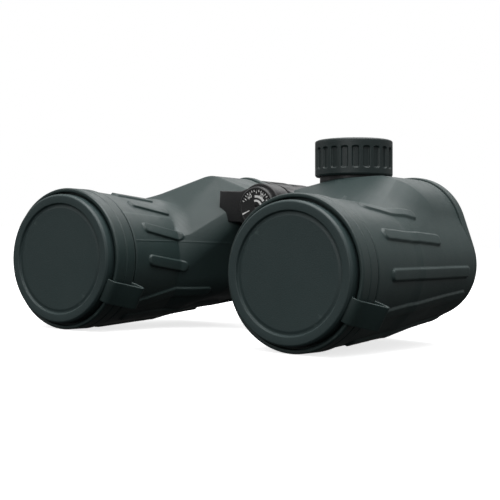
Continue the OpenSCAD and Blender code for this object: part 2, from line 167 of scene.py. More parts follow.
def crinkle(name, dark, light, rough, metallic=0.0, depth=0.00008, scale=1400):
    """Crinkle paint or moulded black plastic with a fine grain."""
    n = Nodes(name)
    cloud = n.noise(55, 4, 0.6)
    mix = n.ramp(cloud, "Fac", [(0.3, dark), (0.72, light)])
    n.link(mix, "Color", n.shader, "Base Color")
    patch = n.noise(120, 3, 0.6)
    roughness = n.spread(patch, "Fac", rough - 0.06, rough + 0.08)
    n.link(roughness, "Result", n.shader, "Roughness")
    n.shader.inputs["Metallic"].default_value = metallic
    cells = n.add("ShaderNodeTexVoronoi", feature="SMOOTH_F1")
    cells.inputs["Scale"].default_value = scale
    n.link(n.coords, "Object", cells, "Vector")
    first = n.bump(cells, "Distance", depth, 0.6)
    fine = n.noise(scale * 1.7, 3, 0.6)
    second = n.bump(fine, "Fac", depth * 0.6, 0.5, first)
    n.link(second, "Normal", n.shader, "Normal")
    return n.mat


def metal(name, colour, rough, axis_scale=(1, 1, 1)):
    """Turned or rolled metal with fine tool lines and slight staining."""
    n = Nodes(name)
    stretch = n.add("ShaderNodeMapping")
    stretch.inputs["Scale"].default_value = axis_scale
    n.link(n.coords, "Object", stretch, "Vector")
    lines = n.add("ShaderNodeTexNoise")
    lines.inputs["Scale"].default_value = 900
    lines.inputs["Detail"].default_value = 3
    n.link(stretch, "Vector", lines, "Vector")
    stain = n.noise(80, 4, 0.6)
    darker = tuple(c * 0.72 for c in colour)
    mix = n.ramp(stain, "Fac", [(0.3, darker), (0.65, colour)])
    n.link(mix, "Color", n.shader, "Base Color")
    n.shader.inputs["Metallic"].default_value = 1.0
    roughness = n.spread(lines, "Fac", rough - 0.06, rough + 0.1)
    n.link(roughness, "Result", n.shader, "Roughness")
    groove = n.bump(lines, "Fac", 0.00003, 0.4)
    n.link(groove, "Normal", n.shader, "Normal")
    return n.mat


def glass(name, tint, rough=0.01, coat=None):
    """Polished glass with a thin coating tint and a few specks of dust."""
    n = Nodes(name)
    speck = n.noise(700, 2, 0.6)
    haze = n.spread(speck, "Fac", rough, rough + 0.10, 0.6, 0.85)
    n.link(haze, "Result", n.shader, "Roughness")
    cloud = n.noise(40, 2, 0.5)
    pale = tuple(min(1.0, c * 1.06) for c in tint)
    mix = n.ramp(cloud, "Fac", [(0.3, tint), (0.7, pale)])
    n.link(mix, "Color", n.shader, "Base Color")
    n.shader.inputs["Transmission Weight"].default_value = 0.95
    n.shader.inputs["IOR"].default_value = 1.52
    if coat:
        n.shader.inputs["Coat Weight"].default_value = 0.6
        n.shader.inputs["Coat Tint"].default_value = (*coat, 1.0)
        n.shader.inputs["Coat Roughness"].default_value = 0.02
    return n.mat


def printed(name, colour, rough):
    """Flat print, board or card with a faint mottle."""
    n = Nodes(name)
    cloud = n.noise(300, 4, 0.6)
    darker = tuple(c * 0.86 for c in colour)
    mix = n.ramp(cloud, "Fac", [(0.35, darker), (0.62, colour)])
    n.link(mix, "Color", n.shader, "Base Color")
    patch = n.noise(500, 2, 0.5)
    roughness = n.spread(patch, "Fac", rough - 0.05, rough + 0.08)
    n.link(roughness, "Result", n.shader, "Roughness")
    grain = n.bump(patch, "Fac", 0.00002, 0.4)
    n.link(grain, "Normal", n.shader, "Normal")
    return n.mat


GREEN = rubber("green_rubber", (0.0185, 0.0345, 0.0335), (0.0225, 0.0405, 0.0390), 0.46)
GREEN_CAP = rubber("green_cap_rubber", (0.0220, 0.0400, 0.0405), (0.0260, 0.0455, 0.0455), 0.50)
KNOB_GREEN = rubber("knob_rubber", (0.0095, 0.0185, 0.0185), (0.0120, 0.0225, 0.0220), 0.42)
STRAP_GREEN = rubber("strap_rubber", (0.0160, 0.0310, 0.0300), (0.0200, 0.0370, 0.0355), 0.42)
RING_GREEN = rubber("ring_rubber", (0.0170, 0.0320, 0.0310), (0.0215, 0.0390, 0.0375), 0.44)
BLACK_RUBBER = rubber("black_rubber", (0.0080, 0.0085, 0.0088), (0.0120, 0.0125, 0.0128), 0.52,
                      wear=(0.05, 0.05, 0.052))
RIBBED = rubber("ribbed_rubber", (0.0095, 0.0105, 0.0105), (0.0140, 0.0150, 0.0150), 0.50,
                wear=(0.055, 0.058, 0.058))
CAST = crinkle("cast_paint", (0.0075, 0.0075, 0.0080), (0.0115, 0.0113, 0.0120), 0.42)
ANODISED = crinkle("black_anodised", (0.012, 0.012, 0.013), (0.019, 0.019, 0.020), 0.36, 0.4, 0.00002, 2400)
BLACK_PLASTIC = crinkle("black_plastic", (0.0090, 0.0095, 0.0100), (0.0135, 0.0140, 0.0145), 0.40)
STEEL = metal("bright_steel", (0.56, 0.56, 0.58), 0.28, (1, 8, 1))
SPRING = metal("spring_steel", (0.50, 0.50, 0.52), 0.34, (6, 1, 1))
BRONZE = metal("sintered_bronze", (0.45, 0.27, 0.10), 0.42)
LENS = glass("optical_glass", (0.93, 0.97, 0.96))
COATED = glass("coated_glass", (0.90, 0.88, 0.98), 0.01, (0.55, 0.45, 0.9))
ACRYLIC = glass("capsule_acrylic", (0.94, 0.95, 0.93), 0.03)
WHITE_INK = printed("white_ink", (0.80, 0.80, 0.79), 0.45)
CARD = printed("compass_card_print", (0.78, 0.78, 0.74), 0.5)
BOARD = printed("lamp_board_green", (0.02, 0.10, 0.045), 0.4)

NODE_LOOKS = {
    "chassis": CAST, "armour": GREEN, "guard_ring": RING_GREEN, "objective_cap": GREEN_CAP,
    "cap_strap": STRAP_GREEN, "objective_cell": ANODISED, "crown_lens": COATED, "flint_lens": LENS,
    "lens_retainer": ANODISED, "objective_seal": BLACK_RUBBER, "front_prism": LENS, "rear_prism": LENS,
    "prism_shelf": ANODISED, "prism_clips": SPRING, "rear_cover": GREEN, "cover_gasket": BLACK_RUBBER,
    "cover_screws": STEEL, "eyepiece_tube": ANODISED, "focus_ring": RIBBED, "ocular_cell": ANODISED,
    "field_lens": LENS, "eye_lens": COATED, "eyecup": BLACK_RUBBER, "reticle": LENS,
    "hinge_axle": STEEL, "hinge_dial": BLACK_PLASTIC, "hinge_nut": STEEL, "hinge_bushes": BRONZE,
    "hinge_washer": STEEL, "compass_housing": BLACK_PLASTIC, "compass_capsule": ACRYLIC,
    "compass_card": CARD, "compass_pivot": STEEL, "compass_cap": GREEN, "lamp_button": BLACK_RUBBER,
    "lamp_board": BOARD, "lamp_battery": STEEL,
}
for node_name, node_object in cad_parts.items():
    look = NODE_LOOKS[node_name.replace("left_", "").replace("right_", "")]
    node_object.data.materials.clear()
    node_object.data.materials.append(look)


# ---------------------------------------------------------------------------------------------
# Mesh building
# ---------------------------------------------------------------------------------------------
def to_row(points):
    return (np.asarray(points, float) + STATION_ORIGIN) * MM


def mesh_object(name, points, faces, material, body, nodes=(), smooth=True):
    """A mesh piece from station-frame millimetres; it rides on a body and may replace CAD nodes."""
    data = bpy.data.meshes.new(name)
    data.from_pydata([tuple(p) for p in to_row(points)], [], [tuple(int(i) for i in f) for f in faces])
    data.validate()
    data.update()
    if smooth:
        data.polygons.foreach_set("use_smooth", [True] * len(data.polygons))
    data.materials.append(material)
    obj = collection_link(bpy.data.objects.new(name, data))
    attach(obj, body)
    if nodes:
        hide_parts(*nodes)
    return obj


def ring_faces(rows, columns, wrap_rows=False, flip=False):
    """Quads of a grid that is closed round its columns."""
    faces = []
    for i in range(rows if wrap_rows else rows - 1):
        a, b = i * columns, ((i + 1) % rows) * columns
        for j in range(columns):
            k = (j + 1) % columns
            quad = (a + j, b + j, b + k, a + k)
            faces.append(quad[::-1] if flip else quad)
    return faces


def merge(*parts):
    """Joins (points, faces) pairs into one."""
    points, faces, base = [], [], 0
    for p, f in parts:
        points.append(np.asarray(p, float))
        faces += [tuple(i + base for i in face) for face in f]
        base += len(p)
    return np.vstack(points), faces


def filleted(corners, closed=True, steps=5):
    """A polyline with rounded corners; each corner is (u, v, radius)."""
    out = []
    n = len(corners)
    for i, (u, v, r) in enumerate(corners):
        p = np.array([u, v], float)
        if r <= 0 or (not closed and i in (0, n - 1)):
            out.append(p)
            continue
        a = np.array(corners[i - 1][:2], float) - p
        b = np.array(corners[(i + 1) % n][:2], float) - p
        la, lb = np.linalg.norm(a), np.linalg.norm(b)
        a, b = a / la, b / lb
        half = math.acos(max(-1, min(1, float(a @ b)))) / 2
        reach = min(r / math.tan(half), 0.48 * la, 0.48 * lb)
        start, end = p + a * reach, p + b * reach
        for s in range(steps + 1):
            t = s / steps
            out.append((1 - t) ** 2 * start + 2 * t * (1 - t) * p + t * t * end)
    return np.array(out)


def dense(profile, span, closed=True):
    """The same profile with extra points along its long straight runs."""
    out = []
    ends = np.roll(profile, -1, 0) if closed else profile[1:]
    for a, b in zip(profile, ends):
        pieces = max(1, math.ceil(np.linalg.norm(b - a) / span))
        out += [a + (b - a) * k / pieces for k in range(pieces)]
    return np.array(out if closed else out + [profile[-1]])


def lathe(profile, x, z, steps=160, span=1.4, capped=False):
    """Turns a (radius, y) profile about the axis along y at x, z: a closed one, or one with flat ends."""
    profile = dense(np.asarray(profile, float), span, not capped)
    angle = np.linspace(0, 2 * math.pi, steps, endpoint=False)
    rows = [
        np.stack([x + r * np.cos(angle), np.full(steps, y), z + r * np.sin(angle)], 1)
        for r, y in profile
    ]
    if capped:
        return closed_rows(rows)
    return np.vstack(rows), ring_faces(len(profile), steps, wrap_rows=True)


def mirrored(points, faces, side):
    """As drawn for the left barrel, or mirrored in the hinge plane for the right one."""
    if side > 0:
        return points, faces
    flipped = np.array(points, float)
    flipped[:, 0] *= -1
    return flipped, [f[::-1] for f in faces]


# ---------------------------------------------------------------------------------------------
# The form of one barrel, as a distance from the section centre in each direction
# ---------------------------------------------------------------------------------------------
def support(circles, inset=0.0):
    reach = [(x - CX) * np.cos(THETA) + (z - CZ) * np.sin(THETA) + r - inset for x, z, r in circles]
    return np.max(reach, axis=0)


def radial(h, phi):
    turn = np.cos(THETA[None, :] - phi[:, None])
    return np.where(turn > 0.05, h[None, :] / np.maximum(turn, 0.05), 1e9).min(axis=1)


def smooth_max(a, b, k):
    near = np.clip(k - np.abs(a - b), 0, None) / k
    return np.maximum(a, b) + near * near * k / 4


def smooth_min(a, b, k):
    return -smooth_max(-a, -b, k)


FRONT_REACH = support([(OX, 0, 32.4)])
ROUND_REACH = support([(OX, 0, 29.8)])


def hinge_limit(phi, radius):
    """Distance at which the room round the hinge is met."""
    dx, dz = np.cos(phi), np.sin(phi)
    b = CX * dx + (CZ - HINGE_Z) * dz
    inside = b * b - (CX * CX + (CZ - HINGE_Z) ** 2 - radius * radius)
    t = np.where(inside > 0, -b - np.sqrt(np.maximum(inside, 0)), 1e3)
    return np.where(t > 0, t, 1e3)


def by_direction(stops):
    """Spreads (degrees, station) pairs over every direction."""
    turn, station = zip(*stops)
    return np.interp(np.degrees(THETA), turn, station, period=360)


CREASE_SOFT = 0.025      # rounding of the crease, as a share of the shoulder's length
BLEND = 5.0              # width of the soft valley between barrel and shoulder, and its smallest
BLEND_MIN = 0.05
HINGE_ROOM, HINGE_EDGE = 17.0, 1.6       # radius kept free round the hinge, and its soft edge
COVER_ROOM, COVER_EDGE = 9.0, 1.2        # the same at the rear cover
COVER_LIP = 1.0          # how far the rear cover stands proud of the armour's widest section


class Form:
    """The skin of one barrel and its prism housing, whose shoulder starts and ends by direction."""

    def __init__(self, barrel, housing, shoulder, crease, screws):
        self.housing, self.screws = housing, screws
        self.shoulder, self.crease = by_direction(shoulder), by_direction(crease)
        self.rear_reach = support(barrel)
        along = (MID - ARMOUR_FRONT) / (SEAM - ARMOUR_FRONT)
        self.mid_reach = np.maximum(ROUND_REACH, FRONT_REACH + (self.rear_reach - FRONT_REACH) * along)

    def barrel_radius(self, y, phi):
        if y < MID:
            h = FRONT_REACH + (self.mid_reach - FRONT_REACH) * (y - ARMOUR_FRONT) / (MID - ARMOUR_FRONT)
        else:
            h = self.mid_reach + (self.rear_reach - self.mid_reach) * (y - MID) / (SEAM - MID)
        return radial(h, phi)

    def skin_radius(self, y, phi):
        r = self.barrel_radius(y, phi)
        if y > self.shoulder.min():
            share = np.clip((y - self.shoulder) / (self.crease - self.shoulder), 0, None)
            share = smooth_min(share, np.ones(len(THETA)), CREASE_SOFT)
            reach = ROUND_REACH + share * (support(self.housing, COVER_LIP) - ROUND_REACH)
            r = smooth_max(r, radial(reach, phi), BLEND_MIN + BLEND * min(1.0, 3 * share.mean()))
        return smooth_min(r, hinge_limit(phi, HINGE_ROOM), HINGE_EDGE)

    def cover_section(self, y, phi, drop):
        r = radial(support(self.housing, drop), phi)
        r = smooth_min(r, hinge_limit(phi, COVER_ROOM + drop * 0.5), COVER_EDGE)
        return np.stack([CX + r * np.cos(phi), np.full(len(phi), y), CZ + r * np.sin(phi)], 1)

    def even_angles(self, count):
        """Directions that are evenly spaced along the outline at the back of the housing."""
        fine = np.linspace(0, 2 * math.pi, 4000, endpoint=False)
        r = self.skin_radius(100.0, fine)
        edge = np.stack([CX + r * np.cos(fine), CZ + r * np.sin(fine)], 1)
        step = np.linalg.norm(np.roll(edge, -1, 0) - edge, axis=1)
        run = np.concatenate([[0], np.cumsum(step)])
        return np.interp(np.linspace(0, run[-1], count, endpoint=False), run, np.append(fine, 2 * math.pi))


# The left housing is fuller on its outer side, because it carries the compass
FORMS = {
    1: Form(
        [(OX, 0, 24), (OX + 6, 4, 24.6)],
        [(OX, 0, 24), (OX + 6, 4, 24.6), (OX - 2.5, 18, 27.3), (OX - 23.5, 26.8, 17), (OX - 46.5, 29, 9.3),
         (OX - 25.5, 1, 20)],
        [(0, 46.8), (180, 46.8)],
        [(-60, 80), (-10, 85), (16, 86.1), (27, 86), (39, 83), (53, 80.5), (62, 77), (75, 77),
         (110, 78), (170, 79)],
        [(OX - 3, -18.2), (OX + 24, 1), (OX + 13.7, 30.7), (OX - 4.3, 38.5), (OX - 47.5, 31.5),
         (OX - 25.5, -12.8)],
    ),
    -1: Form(
        [(OX + 1.5, 1.5, 25.5)],
        [(OX + 1.5, 1.5, 26.5), (OX - 26.5, 28.5, 16), (OX - 46.5, 29, 9.3), (OX - 25.5, 1, 20)],
        [(-60, 58), (60, 66), (95, 66), (140, 53), (200, 52)],
        [(0, 81), (180, 81)],
        [(OX - 3, -18.2), (OX + 21.5, 2), (OX + 8, 19), (OX - 10.4, 29.3), (OX - 47.5, 31.5),
         (OX - 25.5, -12.8)],
    ),
}

# Ribs: angle about the objective axis at the front and back end, first and last station
RIBS = [
    (66, 50, 33.5, 66), (33, 29, 29.5, 78), (1.6, 3.5, 29.5, 104), (-31, -17.5, 26.5, 105),
    (-63, -52, 26.5, 104), (-92, -92, 26.5, 104), (-123, -126, 26.5, 104),
    (101, 105, 30, 56), (121, 128, 30, 56), (149, 156, 28, 55), (178, 184, 28, 56), (-141.5, -158, 27, 72),
]
RIB_HALF, RIB_HEIGHT, RIB_EDGE = 2.45, 0.95, 0.34
LIP = 18.1               # front edge of the armour, behind a shadow gap
PARTING_Z = 10.0         # mould parting line on the side towards the hinge
PARTING_HEIGHT, PARTING_WIDTH = 0.16, 0.3
CORE_GAP, CORE_WALL, CORE_FRONT = 2.4, 1.8, 19.0    # chassis tube under the armour


def rib_lift(x, z, y):
    """Height of the ribs over the skin at some points of one section."""
    angle = np.degrees(np.arctan2(z, x - OX))
    reach = np.hypot(x - OX, z)
    lift = np.zeros(len(x))
    for a0, a1, y0, y1 in RIBS:
        mid = a0 + (a1 - a0) * (y - y0) / (y1 - y0)
        off = (angle - mid + 180) % 360 - 180
        across = np.abs(np.radians(off)) * reach
        corner = 2.0
        qa = across - (RIB_HALF - corner)
        ql = max(y0 - y, y - y1) + corner
        outside = np.hypot(np.maximum(qa, 0), max(ql, 0)) + np.minimum(np.maximum(qa, ql), 0) - corner
        t = np.clip((RIB_EDGE - outside) / (2 * RIB_EDGE), 0, 1)
        top = t * t * (3 - 2 * t)
        lift = np.maximum(lift, RIB_HEIGHT * top)
    return lift


def armour(side, body, name):
    """The rubber armour as one fine grid from its front lip to the seam."""
    form = FORMS[side]
    phi = form.even_angles(560)
    cos, sin = np.cos(phi), np.sin(phi)
    fine = np.arange(LIP + 0.8, SEAM - 0.9, 0.5)
    rows = []

    def row(y, drop):
        r = form.skin_radius(y, phi) - drop
        rows.append(np.stack([CX + r * cos, np.full(len(phi), y), CZ + r * sin], 1))

    for drop in (3.2, 1.6):
        row(LIP, drop)
    for s in range(5):
        turn = math.radians(90 * s / 5)
        row(LIP + 0.8 * (1 - math.cos(turn)), 0.8 * (1 - math.sin(turn)))
    for y in fine:
        r = form.skin_radius(y, phi)
        x, z = CX + r * cos, CZ + r * sin
        parting = PARTING_HEIGHT * np.exp(-((z - PARTING_Z) / PARTING_WIDTH) ** 2)
        lift = np.maximum(rib_lift(x, z, y), np.where(x < OX, parting, 0))
        reach = np.hypot(x - OX, z)
        rows.append(np.stack([x + lift * (x - OX) / reach, np.full(len(phi), y), z + lift * z / reach], 1))
    end = SEAM - 0.35
    for s in range(5):
        turn = math.radians(90 * (s + 1) / 5)
        row(end - 0.6 * (1 - math.sin(turn)), 0.6 * (1 - math.cos(turn)))
    for drop in (1.6, 3.2):
        row(end, drop)
    points, faces = np.vstack(rows), ring_faces(len(rows), len(phi))
    points, faces = mirrored(points, faces, side)
    return mesh_object(name, points, faces, GREEN, body, (name.replace("_shell", ""),))


def chassis_core(side, body, node):
    """Cast tube that fills the armour from the guard ring to the rear cover."""
    form = FORMS[side]
    phi = form.even_angles(240)
    stations = np.linspace(CORE_FRONT, SEAM - 1.0, 70)
    rows = []
    for drop, run in ((0.0, stations), (CORE_WALL, stations[::-1])):
        for y in run:
            r = form.skin_radius(y, phi) - CORE_GAP - drop
            rows.append(np.stack([CX + r * np.cos(phi), np.full(len(phi), y), CZ + r * np.sin(phi)], 1))
    points, faces = mirrored(np.vstack(rows), ring_faces(len(rows), len(phi), wrap_rows=True), side)
    return mesh_object(node + "_core", points, faces, CAST, body, (node,))


def chassis_nose(side, body, name):
    """Front end of the chassis, inside the guard ring."""
    profile = [(29.3, 7.0), (29.3, 22.0), (27.5, 22.0), (27.5, 7.0)]
    points, faces = mirrored(*lathe(profile, OX, 0, 160), side)
    return mesh_object(name, points, faces, CAST, body)


def closed_rows(rows):
    """A grid closed round its columns, with both ends capped."""
    columns = len(rows[0])
    faces = ring_faces(len(rows), columns)
    last = (len(rows) - 1) * columns
    faces.append(tuple(range(columns)))
    faces.append(tuple(range(last + columns - 1, last - 1, -1)))
    return np.vstack(rows), faces


def sweep(path, across, origin, half_width, half_thick, corner, steps=4, closed=False):
    """A rounded flat bar along a path given as 3-D points; across is its width direction."""
    path = np.asarray(path, float)
    across = np.asarray(across, float)
    outline = filleted([
        (-half_width, -half_thick, corner), (half_width, -half_thick, corner),
        (half_width, half_thick, corner), (-half_width, half_thick, corner),
    ], steps=steps)
    rows = []
    for i, p in enumerate(path):
        ahead = path[(i + 1) % len(path)] if closed or i + 1 < len(path) else p
        behind = path[i - 1] if closed or i > 0 else p
        along = ahead - behind
        along /= np.linalg.norm(along)
        normal = np.cross(along, across)
        normal /= np.linalg.norm(normal)
        rows.append(np.array([origin + p + across * u + normal * v for u, v in outline]))
    if closed:
        return np.vstack(rows), ring_faces(len(rows), len(outline), wrap_rows=True)
    return closed_rows(rows)


def spline(points, per_span=10):
    """Catmull-Rom points through some control points."""
    pts = np.asarray(points, float)
    ext = np.vstack([2 * pts[0] - pts[1], pts, 2 * pts[-1] - pts[-2]])
    out = []
    for i in range(1, len(ext) - 2):
        p0, p1, p2, p3 = ext[i - 1:i + 3]
        for s in range(per_span):
            t = s / per_span
            out.append(0.5 * (2 * p1 + (p2 - p0) * t + (2 * p0 - 5 * p1 + 4 * p2 - p3) * t * t
                              + (3 * p1 - p0 - 3 * p2 + p3) * t ** 3))
    out.append(pts[-1])
    return np.array(out)


def cut(obj, points, faces):
    """Takes a closed shape out of a piece."""
    data = bpy.data.meshes.new("cutter")
    data.from_pydata([tuple(p) for p in to_row(points)], [], faces)
    data.update()
    tool = collection_link(bpy.data.objects.new("cutter", data))
    modifier = obj.modifiers.new("cut", "BOOLEAN")
    modifier.operation, modifier.solver, modifier.object = "DIFFERENCE", "EXACT", tool
    with bpy.context.temp_override(object=obj, active_object=obj):
        bpy.ops.object.modifier_apply(modifier="cut")
    bpy.data.objects.remove(tool)


def flat_shade_sharp(obj, degrees=35):
    """Keeps real corners crisp on a smooth-shaded piece."""
    mesh = obj.data
    limit = math.cos(math.radians(degrees))
    normals = {}
    for poly in mesh.polygons:
        for key in poly.edge_keys:
            normals.setdefault(key, []).append(poly.normal.copy())
    for edge in mesh.edges:
        pair = normals.get(tuple(sorted(edge.vertices)), [])
        edge.use_edge_sharp = len(pair) != 2 or pair[0].dot(pair[1]) < limit


def rod(x, z, y0, y1, r, steps=48):
    return lathe([(0.001, y0), (r, y0), (r, y1), (0.001, y1)], x, z, steps, span=100)


def objective_cap(side, body, node):
    profile = filleted([
        (13.0, 0.95, 0), (23.6, 0.85, 1.0), (24.6, 1.15, 0.5), (25.3, 1.15, 0.3), (25.75, 0.05, 0.5),
        (29.3, 0.0, 0.9),
        (30.0, 1.1, 0.8), (30.0, 6.3, 0.4), (27.1, 6.4, 0), (26.8, 10, 0.4), (25.6, 10, 0.3), (25.6, 3, 0),
        (13.0, 3, 0),
    ], closed=False)
    points, faces = mirrored(*lathe(profile, OX, 0, 220, capped=True), side)
    return mesh_object(node + "_moulding", points, faces, GREEN_CAP, body, (node,))


def guard_ring(side, body, node):
    profile = filleted([
        (29.4, 7, 0), (31.2, 7, 0.3), (31.2, 4.3, 0.3), (31.7, 4.1, 0.3), (32.6, 4.1, 0.5),
        (33, 5.1, 0.6), (33, 9.7, 0.3), (32.7, 10.1, 0.2), (32.7, 10.5, 0.2), (33, 10.9, 0.3),
        (33, 15.9, 0.5), (32.5, 16.8, 0.4), (29.4, 16.8, 0),
    ])
    points, faces = mirrored(*lathe(profile, OX, 0, 220), side)
    return mesh_object(node + "_moulding", points, faces, RING_GREEN, body, (node,))


def cap_strap(side, body, node):
    """Flat tether: out of the cap's rim, straight back over the guard ring and folded under."""
    run = spline([
        (29.9, 2.4), (31.6, 2.75), (33.2, 3.9), (34.6, 6.9), (37.2, 12.0), (38.9, 15.4), (39.15, 16.9),
        (38.2, 17.25), (36.6, 16.5), (34.9, 15.6), (33.5, 14.9),
    ], 8)
    radial_dir = np.array([math.cos(STRAP_ANGLE), 0, -math.sin(STRAP_ANGLE)])
    path = run[:, :1] * radial_dir + run[:, 1:] * np.array([0, 1, 0])
    across = np.array([math.sin(STRAP_ANGLE), 0, math.cos(STRAP_ANGLE)])
    points, faces = sweep(path, across, np.array([side * OX, 0, 0]), 5.5, 0.55, 0.3)
    return mesh_object(node + "_band", points, faces, STRAP_GREEN, body, (node,))


def make_cover(side, body, node):
    form = FORMS[side]
    phi = form.even_angles(360)
    rows = []

    def row(y, drop):
        rows.append(form.cover_section(y, phi, drop))

    def centre_row(y, share):
        edge = form.cover_section(y, phi, 6.0)
        middle = np.array([CX, y, CZ])
        rows.append(middle + (edge - middle) * share)

    centre_row(SEAM + 2.4, 0.02)
    centre_row(SEAM + 2.4, 0.9)
    row(SEAM + 0.15, 5.6)
    row(SEAM + 0.15, 1.2)
    for s in range(5):
        turn = math.radians(90 * s / 4)
        row(SEAM + 0.15 + 0.8 * (1 - math.cos(turn)), 0.8 * (1 - math.sin(turn)))
    for y in np.linspace(SEAM + 1.5, BACK - 2.2, 5):
        row(y, 0.0)
    for s in range(1, 9):
        turn = math.radians(90 * s / 8)
        row(BACK - 1.8 * (1 - math.sin(turn)), 1.8 * (1 - math.cos(turn)))
    row(BACK, 3.0)
    row(BACK - 0.45, 3.6)
    row(BACK - 0.45, 4.6)
    row(BACK, 5.2)
    for share in (0.9, 0.7, 0.5, 0.3, 0.1, 0.02):
        centre_row(BACK, share)
    points, faces = mirrored(*closed_rows(rows), side)
    obj = mesh_object(node + "_moulding", points, faces, GREEN, body, (node,))
    holes = [rod(side * x, z, BACK - 1.7, BACK + 3, 2.6) for x, z in form.screws]
    holes.append(rod(side * EX, EZ, SEAM - 3, BACK + 3, 16.6, 96))
    for hole in holes:
        cut(obj, *hole)
    flat_shade_sharp(obj)
    return obj


def strap_lug(side, body, name):
    half_y, half_z, y_mid = 4.0, 6.75, 120.4
    corners = filleted([
        (y_mid - half_y - 2, -half_z, 0), (y_mid + half_y, -half_z, 2.2),
        (y_mid + half_y, half_z, 2.2), (y_mid - half_y - 2, half_z, 0),
    ], closed=False, steps=8)
    path = [(0, y, z) for y, z in corners]
    points, faces = sweep(path, (1, 0, 0), np.array([OX + 13.5, 0, 16.0]), 1.6, 1.2, 0.55)
    points, faces = mirrored(points, faces, side)
    return mesh_object(name, points, faces, GREEN, body)


def focus_ring(side, body, node):
    """Focus ring: soft grip ribs between two plain bands."""
    steps, ribs = 24 * 18, 24
    angle = np.linspace(0, 2 * math.pi, steps, endpoint=False)
    stations = np.concatenate([
        [119.0, 119.0], 119 + np.array([0.1, 0.35, 0.8, 1.2]), np.linspace(121.2, 122.6, 3),
        np.linspace(122.9, 138.1, 34), np.linspace(138.4, 139.6, 3),
        141 - np.array([0.9, 0.5, 0.15]), [141.0, 141.0],
    ])
    drops = [5.7, 1.4, 0.95, 0.45, 0.1, 0] + [0] * 40 + [0.1, 0.4, 0.95, 1.5, 5.7]
    rows = []
    for y, drop in zip(stations, drops):
        r = np.full(steps, 22.3 - drop)
        if 122.8 < y < 138.2:
            end = min(y - 122.6, 138.4 - y)
            depth = 1.25 * min(1.0, end / 1.4) ** 0.5
            wave = np.cos(angle * ribs)
            r -= depth * np.clip((wave + 0.15) / 0.75, 0, 1) ** 1.5
        rows.append(np.stack([EX + r * np.cos(angle), np.full(steps, y), EZ + r * np.sin(angle)], 1))
    points, faces = mirrored(np.vstack(rows), ring_faces(len(rows), steps, wrap_rows=True), side)
    return mesh_object(node + "_grip", points, faces, RIBBED, body, (node,))


def eyecup(side, body, node):
    """Fold-down eyecup with three soft pleats and a rolled lip."""
    profile = filleted([
        (19.95, 147, 0), (21.3, 147, 0.4), (22, 147.9, 0.4), (22, 159.7, 0.5), (21.1, 160.6, 0.5),
        (21.1, 162.0, 0.4),
        (21.6, 162.8, 0.5), (21.1, 163.6, 0.4), (21.1, 165.0, 0.4), (21.6, 165.8, 0.5), (21.1, 166.6, 0.4),
        (21.2, 168.2, 0.8), (22, 169.8, 1.0), (21.5, 172, 0.7), (19.7, 172, 0.7), (19.0, 169, 1.2),
        (18.8, 160.3, 0.6),
        (14.5, 159, 0.3), (14.5, 157.05, 0), (19.95, 157.05, 0),
    ], steps=4)
    points, faces = mirrored(*lathe(profile, EX, EZ, 160), side)
    return mesh_object(node + "_rubber", points, faces, BLACK_RUBBER, body, (node,))


def tower_place(points):
    """From the tower's own axes (z along the tower) to stations."""
    p = np.asarray(points, float)
    c, s = math.cos(-TOWER_LEAN), math.sin(-TOWER_LEAN)
    out = np.stack([p[:, 0] * c + p[:, 2] * s, p[:, 1], -p[:, 0] * s + p[:, 2] * c], 1)
    return out + np.array(TOWER)


def tower_lathe(profile, steps=160, shape=None):
    angle = np.linspace(0, 2 * math.pi, steps, endpoint=False)
    rows = []
    for r, z in profile:
        reach = np.full(steps, r)
        if shape is not None:
            reach = shape(reach, z, angle)
        rows.append(np.stack([reach * np.cos(angle), reach * np.sin(angle), np.full(steps, z)], 1))
    return tower_place(np.vstack(rows)), ring_faces(len(profile), steps, wrap_rows=True, flip=True)


KNOB_SLOTS, KNOB_R = 22, 18.5


def knob_shape(reach, z, angle):
    """Sinks the rounded slots into the side of the ribbed cap."""
    if z < 3.0 or z > 13.8 or reach[0] < KNOB_R - 0.3:
        return reach
    pitch = 2 * math.pi / KNOB_SLOTS
    off = (angle / pitch) % 1.0 - 0.5
    across = np.abs(off) * pitch * KNOB_R
    along = abs(z - 8.4)
    corner = 0.9
    qa, ql = across - (1.55 - corner), along - (4.9 - corner)
    outside = np.hypot(np.maximum(qa, 0), max(ql, 0)) + np.minimum(np.maximum(qa, ql), 0) - corner
    t = np.clip((0.22 - outside) / 0.44, 0, 1)
    return reach - 0.95 * t * t * (3 - 2 * t)


def compass_cap():
    side = [(KNOB_R, z) for z in np.linspace(1.0, 15.2, 72)]
    low = filleted([
        (16.4, 3.0, 0), (16.4, 0.0, 0.2), (18.0, 0.0, 0.5), (KNOB_R, 0.8, 0.4), (KNOB_R, 1.0, 0),
    ], closed=False)
    high = filleted([
        (KNOB_R, 15.2, 0), (KNOB_R, 16.85, 1.0), (17.3, 17.34, 0.8), (12.4, 17.34, 0.4),
        (12.1, 16.6, 0.3), (6.2, 16.6, 0.4),
        (5.85, 16.3, 0.2), (5.85, 14.6, 0), (16.4, 14.4, 0),
    ], closed=False)
    profile = [tuple(p) for p in low[:-1]] + side + [tuple(p) for p in high[1:]]
    points, faces = tower_lathe(profile, KNOB_SLOTS * 24, knob_shape)
    return mesh_object("compass_cap_moulding", points, faces, KNOB_GREEN, "compass_top",
                       ("compass_cap",))


def lamp_button():
    profile = filleted([
        (0.01, 13.0, 0), (7, 13.0, 0.2), (7, 14.3, 0.3), (5.65, 14.4, 0.1), (5.65, 17.0, 0.5),
        (5.0, 17.25, 0.5), (3.6, 16.9, 1.0),
        (0.01, 16.7, 0),
    ])
    points, faces = tower_lathe([tuple(p) for p in profile], 72)
    return mesh_object("lamp_button_rubber", points, faces, BLACK_RUBBER, "button",
                       ("lamp_button",))


